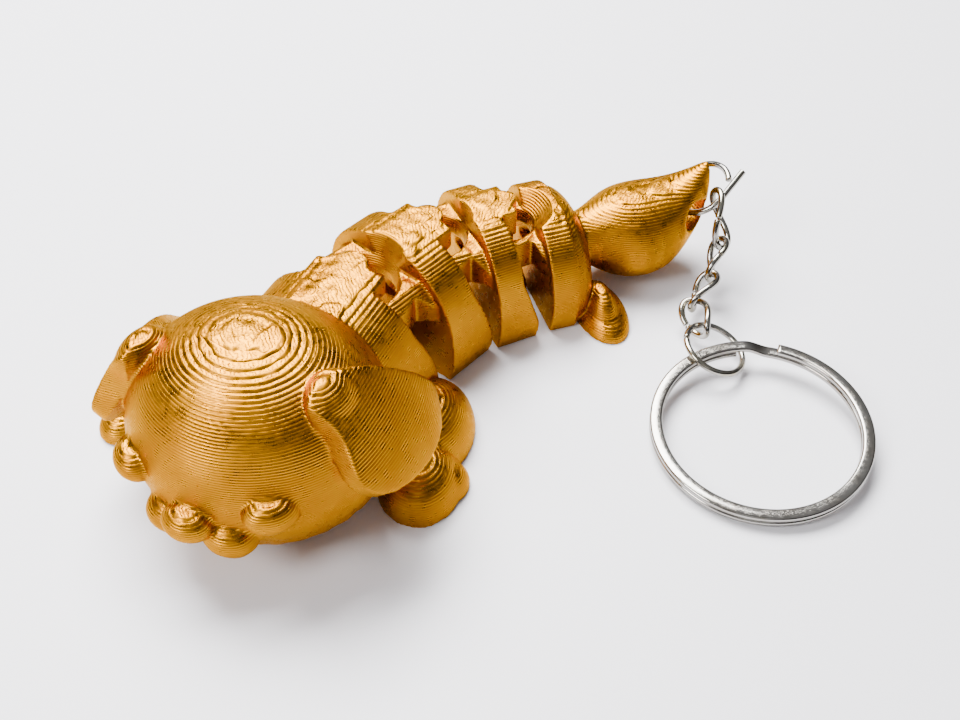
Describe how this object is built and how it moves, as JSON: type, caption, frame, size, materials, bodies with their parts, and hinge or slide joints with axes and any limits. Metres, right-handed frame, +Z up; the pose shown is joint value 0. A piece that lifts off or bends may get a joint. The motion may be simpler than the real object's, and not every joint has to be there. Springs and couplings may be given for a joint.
{
  "type": "articulated puppy keychain",
  "caption": "Jointed toy puppy printed in gold plastic, its body segments bending from side to side, on a short chain of twisted wire links with a split ring for keys.",
  "frame": {"origin": "under the centre of the head, on the flat belly plane that the toy lies on", "axes": "+Z up, X along the toy's longest extent from the split ring side towards the head, Y across"},
  "size_m": [0.0856, 0.0598, 0.022],
  "materials": {
    "gold_plastic": "silk gold filament with fine layer lines",
    "plated_steel": "polished nickel plate"
  },
  "bodies": {
    "head_and_chest": {"head_and_chest": "gold_plastic"},
    "front_segment": {"front_segment": "gold_plastic"},
    "rear_segment": {"rear_segment": "gold_plastic"},
    "hips_and_tail": {"hips_and_tail": "gold_plastic"},
    "tail_jump_link": {"tail_jump_link": "plated_steel"},
    "chain_link_1": {"chain_link_1": "plated_steel"},
    "chain_link_2": {"chain_link_2": "plated_steel"},
    "chain_link_3": {"chain_link_3": "plated_steel"},
    "chain_link_4": {"chain_link_4": "plated_steel"},
    "jump_ring": {"jump_ring": "plated_steel"},
    "split_ring": {"split_ring": "plated_steel"}
  },
  "joints": [
    {"name": "neck_joint", "type": "hinge", "parent": "head_and_chest", "child": "front_segment", "pos_m": [-0.00769, -0.01649, 0], "axis": [0, 0, 1], "range_deg": [-7, 41]},
    {"name": "waist_joint", "type": "hinge", "parent": "front_segment", "child": "rear_segment", "pos_m": [-0.01572, -0.02541, 0], "axis": [0, 0, 1], "range_deg": [-1, 47]},
    {"name": "hip_joint", "type": "hinge", "parent": "rear_segment", "child": "hips_and_tail", "pos_m": [-0.0246, -0.02955, 0], "axis": [0, 0, 1], "range_deg": [-7, 21]},
    {"name": "tail_link_swing", "type": "hinge", "parent": "hips_and_tail", "child": "tail_jump_link", "pos_m": [-0.04771, -0.03706, 0.0085], "axis": [-0.309, 0.9511, 0], "range_deg": [-8, 8]},
    {"name": "link_1_swing", "type": "hinge", "parent": "tail_jump_link", "child": "chain_link_1", "pos_m": [-0.05173, -0.03502, 0.01099], "axis": [0.554, 0.616, -0.56], "range_deg": [-10, 10]},
    {"name": "link_2_swing", "type": "hinge", "parent": "chain_link_1", "child": "chain_link_2", "pos_m": [-0.05225, -0.0313, 0.00611], "axis": [0.5682, 0.8132, -0.126], "range_deg": [-10, 10]},
    {"name": "link_3_swing", "type": "hinge", "parent": "chain_link_2", "child": "chain_link_3", "pos_m": [-0.05024, -0.02755, 0.00382], "axis": [0.4289, 0.8259, 0.366], "range_deg": [-10, 10]},
    {"name": "link_4_swing", "type": "hinge", "parent": "chain_link_3", "child": "chain_link_4", "pos_m": [-0.04725, -0.02351, 0.00298], "axis": [-0.178, -0.118, -0.9769], "range_deg": [-10, 10]},
    {"name": "jump_ring_swing", "type": "hinge", "parent": "chain_link_4", "child": "jump_ring", "pos_m": [-0.04856, -0.01978, 0.00392], "axis": [0.094, 0.8162, -0.5701], "range_deg": [-10, 10]},
    {"name": "split_ring_swing", "type": "hinge", "parent": "jump_ring", "child": "split_ring", "pos_m": [-0.05259, -0.01648, 0.00136], "axis": [-0.1219, -0.9925, 0], "range_deg": [-10, 0.2]}
  ]
}
